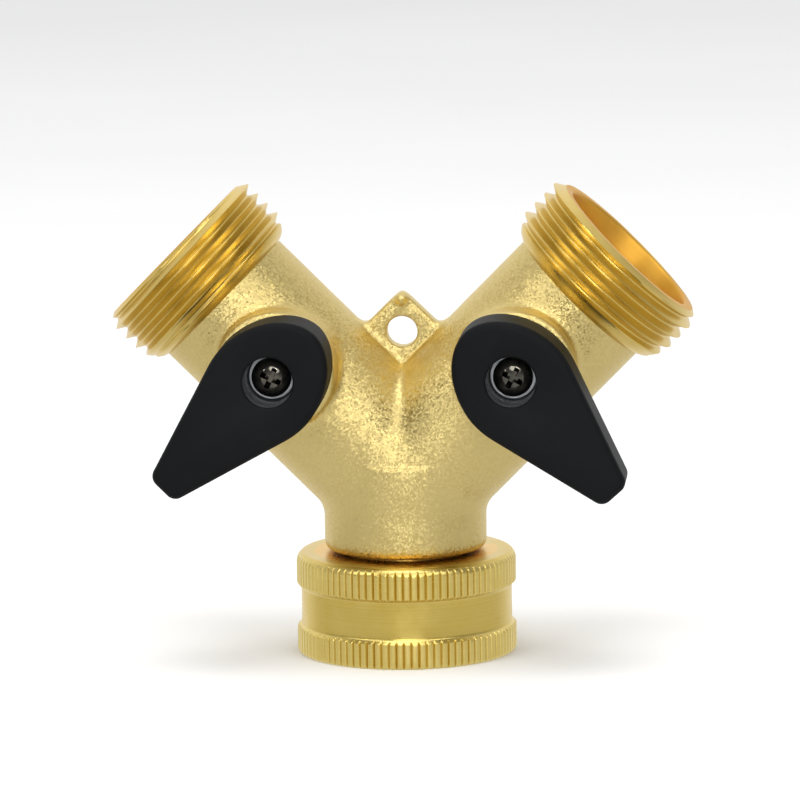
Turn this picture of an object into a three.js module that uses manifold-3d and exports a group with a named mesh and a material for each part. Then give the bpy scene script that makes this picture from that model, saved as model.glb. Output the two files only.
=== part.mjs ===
// Two-way garden hose splitter: a cast brass Y body with a knurled swivel inlet
// nut and two ball valves with lever handles. Millimetres, +Z up.
//
// The origin is the bottom centre of the whole object. The neck and the swivel
// nut turn about a vertical axis, the two legs rise from it at LEG_ANGLE to
// either side, and both valve stems point to the front, along -Y.
import * as THREE from 'three';
import { mergeVertices } from 'three/addons/utils/BufferGeometryUtils.js';
import Module from 'manifold-3d';

const wasm = await Module();
wasm.setup();

// ---------------------------------------------------------------- dimensions
const DEG = Math.PI / 180;
// Facets round a turned face
const FACETS_BODY = 24;
const FACETS_NUT = 32;
const FACETS_BORE = 20;
const FACETS_SMALL = 14;
const FACETS_TURN = 16; // steps in one turn of a thread
const AXIS_Y = 3.85; // the neck axis stands this far behind the middle of the box

// Pipe thread G 3/4, right-handed, 14 to the inch
const PITCH = 25.4 / 14;
const THREAD_CREST_FLAT = 0.3;
const THREAD_ROOT_WIDTH = 1.51; // width of the ridge where it leaves the core
const MALE_CREST_R = 13.22;
const MALE_ROOT_R = 12.06;
const FEMALE_MINOR_R = 12.2;
const FEMALE_MAJOR_R = 13.32;

// Body casting
const NECK_R = 10.96;
const NECK_BOTTOM_Z = 13.99;
const JUNCTION_Z = 24.07; // where the leg axes meet the neck axis
const LEG_ANGLE = 45 * DEG;
const LEG_R = 10.65;
const LEG_THREAD_S = 34.3; // distances s run along a leg axis from the junction
const LEG_END_S = 43.3;
const OUTER_CREST_S = 42.3; // outermost crest on the side towards the other leg
const THREAD_TURNS = 4.375; // a whole number of facets
const MOUTH_R = 10.4;
const MOUTH_DEPTH_S = 36.9;
const CHAMBER_R = 8.7;
const CHAMBER_S = 13.3;
const PASSAGE_R = 5.2;
const NECK_BORE_R = 8.7; // takes the tail piece
const NECK_BORE_TOP_Z = 20.8;
const NECK_CORE_R = 7.0;
const BOSS_R = 8.05;
const BOSS_FACE_Y = 14.05; // heights along a stem axis, measured to the front
const STEM_S = 22.56; // stem axis along the leg
const STEM_BORE_R = 3.0;
const SPOTFACE_R = 4.2;
const SPOTFACE_Y = 9.4;
const LUG_IN_R = 4.25;
const LUG_OUT_R = 5.95;
const LUG_TOP_Y = 15.6;
const LUG_HALF = 11 * DEG;

// Hanging tab in the crotch
const TAB_THICK = 3.0;
const TAB_SHOULDER_Z = 44.74;
const TAB_HALF = 4.77;
const TAB_CORNER_R = 1.35;
const TAB_HOLE_R = 2.05;
const TAB_HOLE_Z = 43.6;

// Swivel nut
const NUT_R = 14.85;
const NUT_GROOVE_R = 14.27;
const NUT_TOP_Z = 13.67;
const NUT_LIP_Z = 11.8;
const NUT_LIP_R = 9.2;
const NUT_SEAT_Z = 6.3; // top of the thread, bottom of the washer recess
const NUT_RECESS_R = 12.65;
const NUT_THREAD_Z = 1.25;
const NUT_THREAD_TURNS = 2.25;

// Inlet tail piece, its ring and the hose washer
const TAIL_R = 8.4;
const TAIL_BORE_R = 7.0;
const TAIL_FLANGE_R = 11.9;
const TAIL_FLANGE_Z = [9.4, 10.7]; // the nut slides 1 mm down before its lip meets it
const TAIL_TOP_Z = 20.5;
const TAIL_GROOVE_R = 7.6;
const TAIL_GROOVE_Z = [16.1, 17.6];
const TAIL_RING_R = 8.1;
const WASHER_R = 12.25;
const WASHER_FACE_R = 11.6;
const WASHER_BORE_R = 7.6;
const WASHER_Z = [6.7, 9.3];

// Ball valve
const BALL_R = 7.2;
const BALL_BORE_R = 4.75;
const BALL_SLOT = 3.0;
const BALL_SLOT_Y = 5.0;
const SEAT_OUT_R = 8.35;
const SEAT_IN_R = 4.95;
const SEAT_BALL_R = 7.5;
const SEAT_LIP = 4.2; // seat edge, measured along the leg from the ball's centre
const SEAT_BACK = 9.0;
const RETAINER_R = 8.35;
const RETAINER_BORE_R = 5.8;
const RETAINER_S = [9.3, 13.8]; // from the ball's centre
const STEM_R = 2.85;
const STEM_FLANGE_R = 3.9;
const STEM_FLANGE_Y = [7.6, 8.5];
const STEM_TONGUE = 2.4;
const STEM_TONGUE_LEN = 6.0;
const STEM_TONGUE_Y = 5.3;
const STEM_GROOVE_R = 2.1;
const STEM_GROOVES_Y = [[10.2, 11.3], [12.1, 13.2]];
const STEM_RING_R = 2.54;
const STEM_NECK_Y = 14.2;
const STEM_TOP_Y = 16.15;
const STEM_TOP_R = 2.6;
const STEM_FLAT = 2.15; // half the width across the two drive flats
const STEM_TAP_R = 1.5;
const STEM_TAP_Y = 10.5;

// Lever handle
const HANDLE_BACK_Y = 14.43;
const HANDLE_FRONT_Y = 22.51;
const HANDLE_HUB_U = 0.99; // centre of the oval hub, from the stem towards the tip
const HANDLE_HUB_RU = 9.83;
const HANDLE_HUB_RV = 7.52;
const HANDLE_HUB_POWER = 1.89;
const HANDLE_TIP_U = 20.32;
const HANDLE_TIP_V = 2.6;
const HANDLE_TIP_R = 1.55;
const HANDLE_EDGE = 1.0; // rounded edge
const HANDLE_RECESS_R = 3.28;
const HANDLE_RECESS_Y = 16.3;
const HANDLE_RIM_R = 3.7;
const HANDLE_TURN = 90 * DEG;
const RIGHT_SLACK = 3.3 * DEG; // the right lever rests this far past square, in its stop's play
const POCKET_IN_R = 3.9;
const POCKET_OUT_R = 6.35;
const POCKET_Y = 15.9;
const POCKET_HALF = 16 * DEG;

// Handle screw, M3 pan head
const SCREW_R = 1.35;
const SCREW_HEAD_R = 2.65;
const SCREW_HEAD_Y = [16.9, 18.8];
const SCREW_END_Y = 10.9;
const SCREW_CROSS = 0.62;
const SCREW_WASHER_R = 3.0;
const SCREW_WASHER_Y = [16.35, 16.8];

// ------------------------------------------------------------------ materials
const cast = new THREE.MeshStandardMaterial({ color: 0xcdaf69, metalness: 1, roughness: 0.5 });
const turned = new THREE.MeshStandardMaterial({ color: 0xc8a038, metalness: 1, roughness: 0.28 });
const plated = new THREE.MeshStandardMaterial({ color: 0xd8d8d4, metalness: 1, roughness: 0.15 });
const blackSteel = new THREE.MeshStandardMaterial({ color: 0x1c1c20, metalness: 1, roughness: 0.2 });
const zinc = new THREE.MeshStandardMaterial({ color: 0xa9abad, metalness: 1, roughness: 0.35 });
const blackPlastic = new THREE.MeshStandardMaterial({ color: 0x1f2124, metalness: 0, roughness: 0.6 });
const ptfe = new THREE.MeshStandardMaterial({ color: 0xf1f0ea, metalness: 0, roughness: 0.45 });
const rubber = new THREE.MeshStandardMaterial({ color: 0x151515, metalness: 0, roughness: 0.75 });

// -------------------------------------------------------------------- helpers
const flipIfInside = (index, at) => {
  let volume = 0;
  const a = new THREE.Vector3(), b = new THREE.Vector3(), c = new THREE.Vector3();
  for (let i = 0; i < index.length; i += 3) {
    a.fromArray(at, 3 * index[i]);
    b.fromArray(at, 3 * index[i + 1]);
    c.fromArray(at, 3 * index[i + 2]);
    volume += a.dot(b.cross(c));
  }
  if (volume < 0) for (let i = 0; i < index.length; i += 3) [index[i], index[i + 1]] = [index[i + 1], index[i]];
};

// A closed three.js geometry as a solid that can be joined and cut
const solid = (geometry, matrix = new THREE.Matrix4()) => {
  let g = geometry.clone();
  g.deleteAttribute('normal');
  g.deleteAttribute('uv');
  g.applyMatrix4(matrix);
  g = mergeVertices(g, 1e-5);
  const from = g.index.array;
  const index = [];
  for (let i = 0; i < from.length; i += 3) {
    const [a, b, c] = [from[i], from[i + 1], from[i + 2]];
    if (a !== b && b !== c && c !== a) index.push(a, b, c);
  }
  const at = new Float32Array(g.attributes.position.array);
  flipIfInside(index, at);
  return new wasm.Manifold(new wasm.Mesh({ numProp: 3, vertProperties: at, triVerts: new Uint32Array(index) }));
};

const geometryOf = (manifold) => {
  const m = manifold.getMesh();
  const g = new THREE.BufferGeometry();
  g.setAttribute('position', new THREE.BufferAttribute(new Float32Array(m.vertProperties), 3));
  g.setIndex(new THREE.BufferAttribute(new Uint32Array(m.triVerts), 1));
  g.computeVertexNormals();
  return g;
};

const translate = (x, y, z) => new THREE.Matrix4().makeTranslation(x, y, z);

// A profile of [radius, height] turned about Z
const turnedSolid = (profile, segments, matrix = new THREE.Matrix4()) => {
  const g = new THREE.LatheGeometry(profile.map(([r, z]) => new THREE.Vector2(r, z)), segments);
  g.rotateX(Math.PI / 2);
  return solid(g, matrix);
};
const rod = (r, z0, z1, segments, matrix) => turnedSolid([[0, z0], [r, z0], [r, z1], [0, z1]], segments, matrix);
const box = (x, y, z, cx, cy, cz, matrix = new THREE.Matrix4()) =>
  solid(new THREE.BoxGeometry(x, y, z), matrix.clone().multiply(translate(cx, cy, cz)));
const ring = (r, tube, z, segments, around = 6) =>
  turnedSolid([...Array(around + 1).keys()].map((i) => {
    const a = ((i % around) + 0.5) * 2 * Math.PI / around;
    return [r + tube * Math.cos(a), z + tube * Math.sin(a)];
  }), segments);

const arc = (cx, cy, r, a0, a1, n) =>
  [...Array(n + 1).keys()].map((i) => {
    const a = a0 + (a1 - a0) * i / n;
    return new THREE.Vector2(cx + r * Math.cos(a), cy + r * Math.sin(a));
  });

// A helix that carries its section square to the radius
class Helix extends THREE.Curve {
  constructor(r, z, pitch, turns, sink, fade, phase) {
    super();
    Object.assign(this, { r, z, pitch, turns, sink, fade, phase });
  }
  radius(t) {
    const end = Math.min(t, 1 - t) * this.turns;
    return this.r - this.sink * Math.max(0, 1 - end / this.fade);
  }
  getPoint(t, target = new THREE.Vector3()) {
    const a = this.phase + 2 * Math.PI * this.turns * t, r = this.radius(t);
    return target.set(r * Math.cos(a), r * Math.sin(a), this.z + this.pitch * this.turns * t);
  }
  getPointAt(t, target) {
    return this.getPoint(t, target);
  }
  getSpacedPoints(n) {
    return [...Array(n + 1).keys()].map((i) => this.getPoint(i / n));
  }
  computeFrenetFrames(n) {
    const out = { tangents: [], normals: [], binormals: [] };
    for (let i = 0; i <= n; i++) {
      const a = this.phase + 2 * Math.PI * this.turns * i / n;
      out.tangents.push(new THREE.Vector3(-Math.sin(a), Math.cos(a), 0));
      out.normals.push(new THREE.Vector3(Math.cos(a), Math.sin(a), 0));
      out.binormals.push(new THREE.Vector3(0, 0, 1));
    }
    return out;
  }
}

// The thread ridge: outward from a core for a male thread, inward for a female one
const threadRidge = (rootR, crestR, z, turns, phase = 0) => {
  const h = Math.abs(crestR - rootR), sign = Math.sign(crestR - rootR);
  const slope = (THREAD_ROOT_WIDTH - THREAD_CREST_FLAT) / 2 / h;
  const under = 0.12;
  const section = new THREE.Shape([
    new THREE.Vector2(-sign * under, -(THREAD_ROOT_WIDTH / 2 + under * slope)),
    new THREE.Vector2(sign * h, -THREAD_CREST_FLAT / 2),
    new THREE.Vector2(sign * h, THREAD_CREST_FLAT / 2),
    new THREE.Vector2(-sign * under, THREAD_ROOT_WIDTH / 2 + under * slope),
  ]);
  const path = new Helix(rootR, z, PITCH, turns, sign * (h + 0.05), 0.3, phase);
  return solid(new THREE.ExtrudeGeometry(section, { steps: Math.round(turns * FACETS_TURN), extrudePath: path, bevelEnabled: false }));
};

const root = new THREE.Group();
root.position.set(0, AXIS_Y, 0);
const add = (name, manifoldOrGeometry, material, parent = root) => {
  const g = manifoldOrGeometry.isBufferGeometry ? manifoldOrGeometry : geometryOf(manifoldOrGeometry);
  const mesh = new THREE.Mesh(g, material);
  mesh.name = name;
  parent.add(mesh);
  return mesh;
};

// Frames. A leg's own Z runs outward along it. A valve's own Z runs to the front
// along its stem, and its X runs along the handle when the valve is shut.
const SIDES = [['left', -1], ['right', 1]];
const legMatrix = (side) =>
  translate(0, 0, JUNCTION_Z).multiply(new THREE.Matrix4().makeRotationY(side * LEG_ANGLE));
const valveMatrix = (side, slack = 0) => {
  const x = new THREE.Vector3(side * Math.cos(LEG_ANGLE + slack), 0, -Math.sin(LEG_ANGLE + slack));
  const z = new THREE.Vector3(0, -1, 0);
  const y = new THREE.Vector3().crossVectors(z, x);
  const c = new THREE.Vector3(side * Math.sin(LEG_ANGLE) * STEM_S, 0, JUNCTION_Z + Math.cos(LEG_ANGLE) * STEM_S);
  return new THREE.Matrix4().makeBasis(x, y, z).setPosition(c);
};
// In a valve's frame the leg runs outward along side * Y.
const placed = (matrix) => {
  const g = new THREE.Group();
  matrix.decompose(g.position, g.quaternion, g.scale);
  root.add(g);
  return g;
};

// ----------------------------------------------------------------- valve body
const sector = (r0, r1, a0, a1, z0, z1, n, matrix) => {
  const shape = new THREE.Shape([...arc(0, 0, r1, a0, a1, n), ...arc(0, 0, r0, a1, a0, n)]);
  return solid(new THREE.ExtrudeGeometry(shape, { depth: z1 - z0, bevelEnabled: false }), matrix.clone().multiply(translate(0, 0, z0)));
};

let body = turnedSolid([
  [0, NECK_BOTTOM_Z], [NECK_R - 0.7, NECK_BOTTOM_Z], [NECK_R - 0.2, NECK_BOTTOM_Z + 0.25],
  [NECK_R, NECK_BOTTOM_Z + 0.8], [NECK_R, JUNCTION_Z], [0, JUNCTION_Z],
], FACETS_BODY);
body = body.add(solid(new THREE.SphereGeometry(NECK_R - 0.05, 20, 10), translate(0, 0, JUNCTION_Z)));
for (const [, side] of SIDES) {
  const leg = legMatrix(side);
  body = body.add(turnedSolid([
    [0, 2], [LEG_R, 2], [LEG_R, LEG_THREAD_S + 0.5], [0, LEG_THREAD_S + 0.5],
  ], FACETS_BODY, leg));
  body = body.add(turnedSolid([
    [0, LEG_THREAD_S - 3], [LEG_R - 0.6, LEG_THREAD_S - 1], [MALE_ROOT_R, LEG_THREAD_S],
    [MALE_ROOT_R, LEG_END_S - 0.3], [MALE_ROOT_R - 0.3, LEG_END_S], [0, LEG_END_S],
  ], FACETS_TURN, leg));
  // The ridge passes OUTER_CREST_S on the inner side and ends a quarter turn later
  const phase = (side < 0 ? 0.25 : 0.75) - THREAD_TURNS;
  const from = OUTER_CREST_S + (0.25 - THREAD_TURNS) * PITCH;
  body = body.add(threadRidge(MALE_ROOT_R, MALE_CREST_R, from, THREAD_TURNS, 2 * Math.PI * phase).transform(leg.elements));
  // Boss and its stop lug, which stands where the shut handle's pocket ends
  const valve = valveMatrix(side);
  body = body.add(turnedSolid([
    [0, 0], [BOSS_R, 0], [BOSS_R, BOSS_FACE_Y - 0.5], [BOSS_R - 0.5, BOSS_FACE_Y], [0, BOSS_FACE_Y],
  ], FACETS_BODY, valve));
  const at = side * 135 * DEG;
  body = body.add(sector(LUG_IN_R, LUG_OUT_R, at - LUG_HALF, at + LUG_HALF, BOSS_FACE_Y - 0.5, LUG_TOP_Y, 3, valve));
}
const tabShape = new THREE.Shape([
  new THREE.Vector2(-7.6, TAB_SHOULDER_Z), new THREE.Vector2(-7.6, 40), new THREE.Vector2(-3, 34),
  new THREE.Vector2(3, 34), new THREE.Vector2(7.6, 40), new THREE.Vector2(7.6, TAB_SHOULDER_Z),
  new THREE.Vector2(TAB_HALF, TAB_SHOULDER_Z),
  ...arc(0, TAB_SHOULDER_Z + TAB_HALF - TAB_CORNER_R * Math.SQRT2, TAB_CORNER_R, 45 * DEG, 135 * DEG, 5),
  new THREE.Vector2(-TAB_HALF, TAB_SHOULDER_Z),
]);
const tabMatrix = new THREE.Matrix4().makeRotationX(Math.PI / 2).setPosition(0, TAB_THICK / 2, 0);
body = body.add(solid(new THREE.ExtrudeGeometry(tabShape, { depth: TAB_THICK, bevelEnabled: false }), tabMatrix));
body = body.subtract(rod(TAB_HOLE_R, -5, 5, FACETS_SMALL, translate(0, 0, TAB_HOLE_Z).multiply(new THREE.Matrix4().makeRotationX(Math.PI / 2))));
// Waterways
body = body.subtract(turnedSolid([
  [0, 10], [NECK_BORE_R + 0.5, 10], [NECK_BORE_R + 0.5, NECK_BOTTOM_Z], [NECK_BORE_R, NECK_BOTTOM_Z + 0.5],
  [NECK_BORE_R, NECK_BORE_TOP_Z], [NECK_CORE_R, NECK_BORE_TOP_Z], [NECK_CORE_R, JUNCTION_Z + 1], [0, JUNCTION_Z + 3.5],
], FACETS_BORE));
for (const [, side] of SIDES) {
  const leg = legMatrix(side);
  body = body.subtract(turnedSolid([
    [0, 0], [PASSAGE_R, 0], [PASSAGE_R, CHAMBER_S], [CHAMBER_R, CHAMBER_S], [CHAMBER_R, MOUTH_DEPTH_S],
    [MOUTH_R, MOUTH_DEPTH_S], [MOUTH_R, LEG_END_S + 2], [0, LEG_END_S + 2],
  ], FACETS_BODY, leg));
  body = body.subtract(turnedSolid([
    [0, 5], [SPOTFACE_R, 5], [SPOTFACE_R, SPOTFACE_Y], [STEM_BORE_R, SPOTFACE_Y], [STEM_BORE_R, 20], [0, 20],
  ], FACETS_SMALL, valveMatrix(side)));
}
add('valve_body', body, cast);

// -------------------------------------------------- inlet: tail piece and nut
const [f0, f1] = TAIL_FLANGE_Z;
const [g0, g1] = TAIL_GROOVE_Z;
add('inlet_tailpiece', turnedSolid([
  [TAIL_BORE_R, f0], [TAIL_FLANGE_R, f0], [TAIL_FLANGE_R, f1], [TAIL_R, f1], [TAIL_R, g0], [TAIL_GROOVE_R, g0],
  [TAIL_GROOVE_R, g1], [TAIL_R, g1], [TAIL_R, TAIL_TOP_Z - 0.4], [TAIL_R - 0.4, TAIL_TOP_Z],
  [TAIL_BORE_R, TAIL_TOP_Z], [TAIL_BORE_R, f0],
], FACETS_BORE), turned);
add('tailpiece_oring', ring(TAIL_RING_R, 0.4, (g0 + g1) / 2, FACETS_BORE), rubber);

let nut = turnedSolid([
  [FEMALE_MAJOR_R, 0], [NUT_R - 0.4, 0], [NUT_R, 0.4], [NUT_R, 3.4], [NUT_GROOVE_R, 3.95], [NUT_GROOVE_R, 8.95],
  [NUT_R, 9.5], [NUT_R, 12.5], [NUT_R - 0.35, 13.25], [NUT_R - 1.0, NUT_TOP_Z], [NUT_LIP_R, NUT_TOP_Z],
  [NUT_LIP_R, NUT_LIP_Z], [NUT_RECESS_R, NUT_LIP_Z], [NUT_RECESS_R, NUT_SEAT_Z], [FEMALE_MAJOR_R, NUT_SEAT_Z - 0.6],
  [FEMALE_MAJOR_R, 0],
], FACETS_NUT);
nut = nut.add(threadRidge(FEMALE_MAJOR_R, FEMALE_MINOR_R, NUT_THREAD_Z, NUT_THREAD_TURNS));
add('swivel_nut', nut, turned);

const [w0, w1] = WASHER_Z;
add('inlet_washer', turnedSolid([
  [WASHER_BORE_R, w0], [WASHER_FACE_R, w0], [WASHER_R, w0 + 0.65], [WASHER_R, w1 - 0.3], [WASHER_R - 0.3, w1],
  [WASHER_BORE_R, w1], [WASHER_BORE_R, w0],
], FACETS_BORE), rubber);

// --------------------------------------------------------------- ball valves
const cross = (o, a, b) => (a.x - o.x) * (b.y - o.y) - (a.y - o.y) * (b.x - o.x);
const hull = (points) => {
  const p = [...points].sort((a, b) => a.x - b.x || a.y - b.y);
  const half = (list) => {
    const out = [];
    for (const q of list) {
      while (out.length > 1 && cross(out[out.length - 2], out[out.length - 1], q) <= 1e-6) out.pop();
      out.push(q);
    }
    out.pop();
    return out;
  };
  return [...half(p), ...half(p.reverse())];
};
// Oval hub, straight tapering sides and a blunt tip
const handleOutline = (inset) => {
  const e = 2 / HANDLE_HUB_POWER;
  const oval = [...Array(28).keys()].map((i) => {
    const c = Math.cos(2 * Math.PI * i / 28), d = Math.sin(2 * Math.PI * i / 28);
    return new THREE.Vector2(
      HANDLE_HUB_U + (HANDLE_HUB_RU - inset) * Math.sign(c) * Math.abs(c) ** e,
      (HANDLE_HUB_RV - inset) * Math.sign(d) * Math.abs(d) ** e);
  });
  const r = HANDLE_TIP_R - inset, v = HANDLE_TIP_V - HANDLE_TIP_R, u = HANDLE_TIP_U - HANDLE_TIP_R;
  return hull([...oval, ...arc(u, v, r, 0, Math.PI / 2, 4), ...arc(u, -v, r, -Math.PI / 2, 0, 4)]);
};

for (const [name, side] of SIDES) {
  const leg = placed(legMatrix(side));
  const valve = placed(valveMatrix(side, side > 0 ? RIGHT_SLACK : 0));

  // Seats and their retaining ring, turned about the leg
  const seat = (dir) => {
    const profile = [[SEAT_IN_R, dir * SEAT_BACK], [SEAT_OUT_R, dir * SEAT_BACK], [SEAT_OUT_R, dir * SEAT_LIP]];
    const a0 = Math.asin(SEAT_LIP / SEAT_BALL_R), a1 = Math.acos(SEAT_IN_R / SEAT_BALL_R);
    for (let i = 0; i <= 2; i++) {
      const a = a0 + (a1 - a0) * i / 2;
      profile.push([SEAT_BALL_R * Math.cos(a), dir * SEAT_BALL_R * Math.sin(a)]);
    }
    profile.push(profile[0]);
    return turnedSolid(profile, FACETS_BORE, translate(0, 0, STEM_S));
  };
  add(`${name}_seat_inner`, seat(-1), ptfe, leg);
  add(`${name}_seat_outer`, seat(1), ptfe, leg);
  const [r0, r1] = RETAINER_S.map((s) => STEM_S + s);
  let retainer = turnedSolid([
    [RETAINER_BORE_R, r0], [RETAINER_R, r0], [RETAINER_R, r1 - 0.4], [RETAINER_R - 0.4, r1],
    [RETAINER_BORE_R, r1], [RETAINER_BORE_R, r0],
  ], FACETS_BORE);
  retainer = retainer.subtract(box(30, 2.2, 1.6, 0, 0, r1));
  add(`${name}_seat_retainer`, retainer, turned, leg);

  // Ball, shut: its bore lies across the leg, and its slot along it
  let ball = solid(new THREE.SphereGeometry(BALL_R, 20, 12));
  ball = ball.subtract(rod(BALL_BORE_R, -10, 10, FACETS_SMALL, new THREE.Matrix4().makeRotationY(Math.PI / 2)));
  ball = ball.subtract(box(BALL_SLOT, 20, 5, 0, 0, BALL_SLOT_Y + 2.5));
  add(`${name}_ball`, ball, plated, valve);

  const [s0, s1] = STEM_FLANGE_Y;
  const [[a0, a1], [b0, b1]] = STEM_GROOVES_Y;
  let stem = turnedSolid([
    [0, s0], [STEM_FLANGE_R, s0], [STEM_FLANGE_R, s1], [STEM_R, s1], [STEM_R, a0], [STEM_GROOVE_R, a0],
    [STEM_GROOVE_R, a1], [STEM_R, a1], [STEM_R, b0], [STEM_GROOVE_R, b0], [STEM_GROOVE_R, b1], [STEM_R, b1],
    [STEM_R, STEM_NECK_Y], [STEM_TOP_R, STEM_NECK_Y], [STEM_TOP_R, STEM_TOP_Y], [0, STEM_TOP_Y],
  ], FACETS_SMALL);
  for (const d of [-1, 1]) stem = stem.subtract(box(8, 4, 8, 0, d * (STEM_FLAT + 2), STEM_NECK_Y + 4));
  stem = stem.subtract(rod(STEM_TAP_R, STEM_TAP_Y, STEM_TOP_Y + 1, 12));
  stem = stem.add(box(STEM_TONGUE, STEM_TONGUE_LEN, s0 + 0.5 - STEM_TONGUE_Y, 0, 0, (s0 + 0.5 + STEM_TONGUE_Y) / 2));
  add(`${name}_stem`, stem, turned, valve);
  add(`${name}_stem_oring_lower`, ring(STEM_RING_R, 0.34, (a0 + a1) / 2, FACETS_SMALL), rubber, valve);
  add(`${name}_stem_oring_upper`, ring(STEM_RING_R, 0.34, (b0 + b1) / 2, FACETS_SMALL), rubber, valve);
  add(`${name}_stem_washer`, turnedSolid([
    [STEM_R + 0.2, s1 + 0.06], [STEM_FLANGE_R, s1 + 0.06], [STEM_FLANGE_R, SPOTFACE_Y - 0.06], [STEM_R + 0.2, SPOTFACE_Y - 0.06],
    [STEM_R + 0.2, s1 + 0.06],
  ], FACETS_SMALL), ptfe, valve);

  // Lever handle, with the drive hole, the screw recess and the stop pocket
  const h0 = HANDLE_BACK_Y, h1 = HANDLE_FRONT_Y;
  const slab = (inset, z0, z1) =>
    solid(new THREE.ExtrudeGeometry(new THREE.Shape(handleOutline(inset)), { depth: z1 - z0, bevelEnabled: false }), translate(0, 0, z0));
  const e = HANDLE_EDGE;
  let handle = new wasm.Manifold(slab(0, h0 + 0.4, h1 - e).getMesh());
  handle = handle.add(slab(0.3 * e, h0, h1 - 0.3 * e)).add(slab(e, h0, h1));
  handle = handle.subtract(turnedSolid([
    [0, HANDLE_RECESS_Y], [HANDLE_RECESS_R, HANDLE_RECESS_Y], [HANDLE_RECESS_R, h1 - 0.45], [HANDLE_RIM_R, h1],
    [HANDLE_RIM_R, h1 + 1], [0, h1 + 1],
  ], FACETS_SMALL));
  const drive = rod(STEM_TOP_R + 0.3, h0 - 1, HANDLE_RECESS_Y + 1, FACETS_SMALL);
  handle = handle.subtract(drive.subtract(box(8, 4, 20, 0, STEM_FLAT + 0.3 + 2, h0)).subtract(box(8, 4, 20, 0, -STEM_FLAT - 0.3 - 2, h0)));
  // The pocket reaches from the lug back along the way that the handle turns
  const lugAt = side * 135 * DEG;
  const from = side > 0 ? lugAt - HANDLE_TURN - POCKET_HALF : lugAt - POCKET_HALF;
  const to = side > 0 ? lugAt + POCKET_HALF : lugAt + HANDLE_TURN + POCKET_HALF;
  handle = handle.subtract(sector(POCKET_IN_R, POCKET_OUT_R, from, to, h0 - 1, POCKET_Y, 7, new THREE.Matrix4()));
  add(`${name}_handle`, handle, blackPlastic, valve);

  const [k0, k1] = SCREW_HEAD_Y;
  let screw = turnedSolid([
    [0, SCREW_END_Y], [SCREW_R - 0.4, SCREW_END_Y], [SCREW_R, SCREW_END_Y + 0.5], [SCREW_R, k0], [SCREW_HEAD_R, k0],
    [SCREW_HEAD_R, k0 + 0.9], [SCREW_HEAD_R - 0.4, k0 + 1.5], [1.2, k1], [0, k1],
  ], FACETS_SMALL);
  screw = screw.subtract(box(3.0, SCREW_CROSS, 2.6, 0, 0, k1)).subtract(box(SCREW_CROSS, 3.0, 2.6, 0, 0, k1));
  add(`${name}_handle_screw`, screw, blackSteel, valve);
  const [q0, q1] = SCREW_WASHER_Y;
  add(`${name}_screw_washer`, turnedSolid([
    [1.65, q0], [SCREW_WASHER_R, q0], [SCREW_WASHER_R, q1], [1.65, q1], [1.65, q0],
  ], FACETS_SMALL), zinc, valve);
}

export default root;
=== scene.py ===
"""Looks of the hose splitter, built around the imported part. Lengths in the mesh code are millimetres
about the neck axis; place() turns them into metres in the part's own frame."""

import math

import bpy
import numpy as np
from mathutils import Matrix, Vector


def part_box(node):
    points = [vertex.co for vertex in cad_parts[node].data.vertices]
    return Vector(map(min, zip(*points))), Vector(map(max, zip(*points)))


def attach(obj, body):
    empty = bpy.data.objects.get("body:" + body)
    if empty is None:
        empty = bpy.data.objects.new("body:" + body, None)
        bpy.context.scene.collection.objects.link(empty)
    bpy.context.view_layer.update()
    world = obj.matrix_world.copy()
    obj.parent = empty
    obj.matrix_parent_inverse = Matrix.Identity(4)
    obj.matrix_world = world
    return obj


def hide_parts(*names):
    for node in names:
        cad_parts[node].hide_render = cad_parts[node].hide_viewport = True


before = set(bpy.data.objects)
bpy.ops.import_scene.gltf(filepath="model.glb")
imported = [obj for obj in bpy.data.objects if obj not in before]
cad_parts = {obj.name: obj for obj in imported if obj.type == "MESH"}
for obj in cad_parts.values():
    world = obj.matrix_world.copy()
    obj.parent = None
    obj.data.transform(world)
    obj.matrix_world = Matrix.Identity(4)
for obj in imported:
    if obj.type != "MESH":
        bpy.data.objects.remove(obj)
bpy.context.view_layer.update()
low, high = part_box("inlet_tailpiece")
AXIS_Y = 0.5 * (low.y + high.y)

# ------------------------------------------------------------------ sizes, mm
PITCH = 25.4 / 14
JUNCTION_Z = 24.07
NECK_R, NECK_BOTTOM_Z = 10.96, 13.99
LEG_R = 10.65
LEG_END_S = 43.3
OUTER_CREST_S = 42.3
MOUTH_R, MOUTH_DEPTH_S = 10.4, 36.9
CHAMBER_R, CHAMBER_S = 8.7, 13.3
BOSS_R, BOSS_FACE_Y = 8.05, 14.05
STEM_S = 22.56
HANDLE_BACK_Y, HANDLE_FRONT_Y = 14.43, 22.51
SLACK = math.radians(3.3)
R2 = math.sqrt(0.5)
SIDES = (("left", -1), ("right", 1))


def leg_matrix(side):
    return Matrix.Translation((0, 0, JUNCTION_Z)) @ Matrix.Rotation(side * math.pi / 4, 4, "Y")


def valve_matrix(side, slack=0.0):
    """Z runs to the front along the stem, X along the shut handle."""
    a = math.pi / 4 + slack
    x = Vector((side * math.cos(a), 0, -math.sin(a)))
    z = Vector((0, -1, 0))
    y = z.cross(x)
    m = Matrix((x, y, z)).transposed().to_4x4()
    m.translation = Vector((side * R2 * STEM_S, 0, JUNCTION_Z + R2 * STEM_S))
    return m


# ------------------------------------------------------------------- meshes
def mesh_of(name, verts, faces, matrix=None):
    verts = np.asarray(verts, float)
    if matrix is not None:
        m = np.array(matrix)
        verts = verts @ m[:3, :3].T + m[:3, 3]
    me = bpy.data.meshes.new(name)
    me.from_pydata(verts.tolist(), [], [list(f) for f in faces])
    me.validate()
    me.update()
    o = bpy.data.objects.new(name, me)
    bpy.context.scene.collection.objects.link(o)
    return o


def volume(verts, faces):
    v = np.asarray(verts, float)
    total = 0.0
    for f in faces:
        a = v[f[0]]
        for i in range(1, len(f) - 1):
            total += np.dot(a, np.cross(v[f[i]], v[f[i + 1]]))
    return total


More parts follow.
